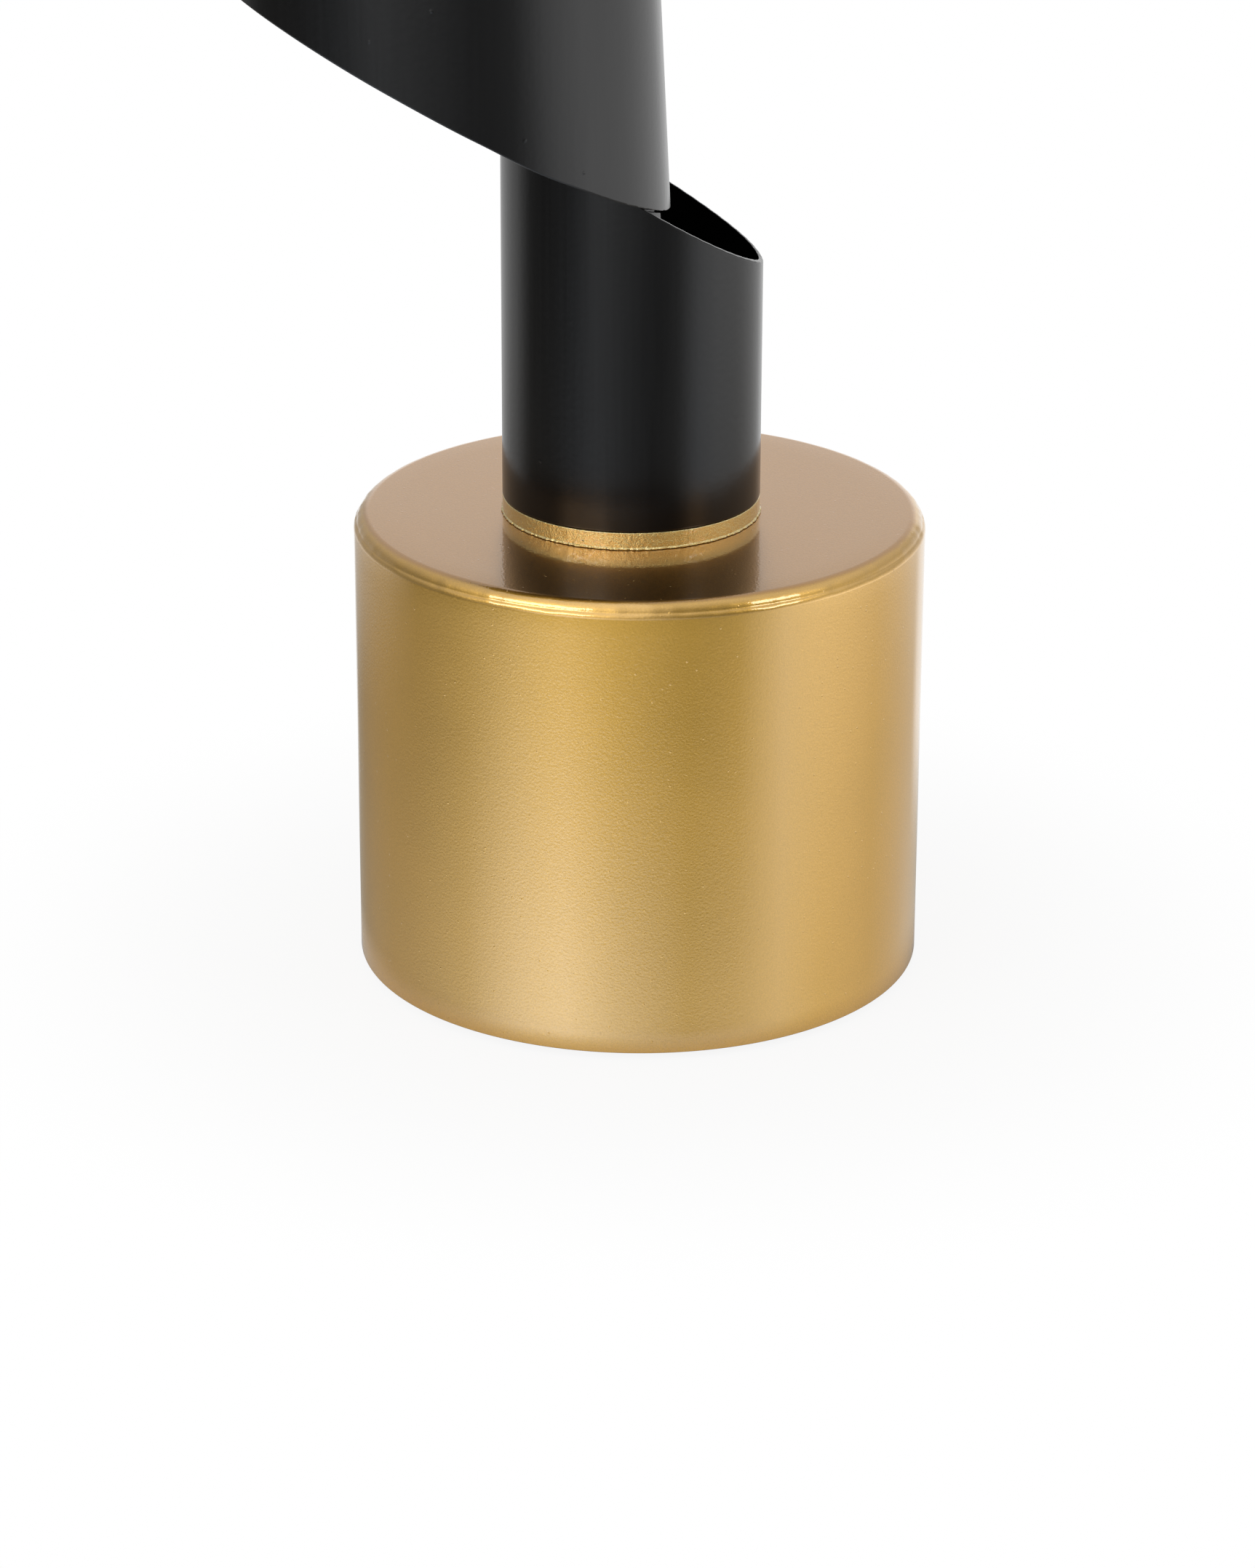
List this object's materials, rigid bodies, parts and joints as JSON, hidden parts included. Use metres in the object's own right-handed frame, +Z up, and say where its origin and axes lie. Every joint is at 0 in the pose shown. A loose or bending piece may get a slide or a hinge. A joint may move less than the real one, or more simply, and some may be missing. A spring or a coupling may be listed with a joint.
{
  "type": "candle holder",
  "caption": "Candle holder: gold drum base, black slant-cut stem and a wider, leaning candle tube that interlocks with it and takes a lift-out candle pan.",
  "frame": {"origin": "centre of the felt pad's underside, the face the holder rests on, on the drum's axis", "axes": "+Z up along the drum's axis; +X towards the side where the stem's slanted cut is low, away from the candle tube; XZ is the plane of symmetry"},
  "size_m": [0.1286, 0.1, 0.3021],
  "materials": {
    "gold_lacquer": "gloss",
    "black_paint": "satin",
    "zinc_steel": "satin",
    "plain_steel": "satin",
    "cast_filling": "matte",
    "black_felt": "matte"
  },
  "bodies": {
    "stand": {"base_drum": "gold_lacquer", "felt_pad": "black_felt", "bottom_plate": "plain_steel", "ballast_core": "cast_filling", "tie_rod": "zinc_steel", "tie_washer": "zinc_steel", "tie_spring_washer": "plain_steel", "tie_nut": "zinc_steel", "neck_collar": "gold_lacquer", "stem_plug": "plain_steel", "stem_tube": "black_paint", "candle_tube": "black_paint", "joint_tab_front": "black_paint", "joint_tab_back": "black_paint", "ledge_tab_1": "black_paint", "ledge_tab_2": "black_paint", "ledge_tab_3": "black_paint"},
    "candle_pan": {"candle_pan": "gold_lacquer", "pricket": "gold_lacquer", "pricket_washer": "zinc_steel", "pricket_nut": "zinc_steel"}
  },
  "joints": [
    {"name": "pan_lift", "type": "slide", "parent": "stand", "child": "candle_pan", "axis": [-0.0506, 0, 0.9987], "range_m": [0, 0.06]}
  ]
}
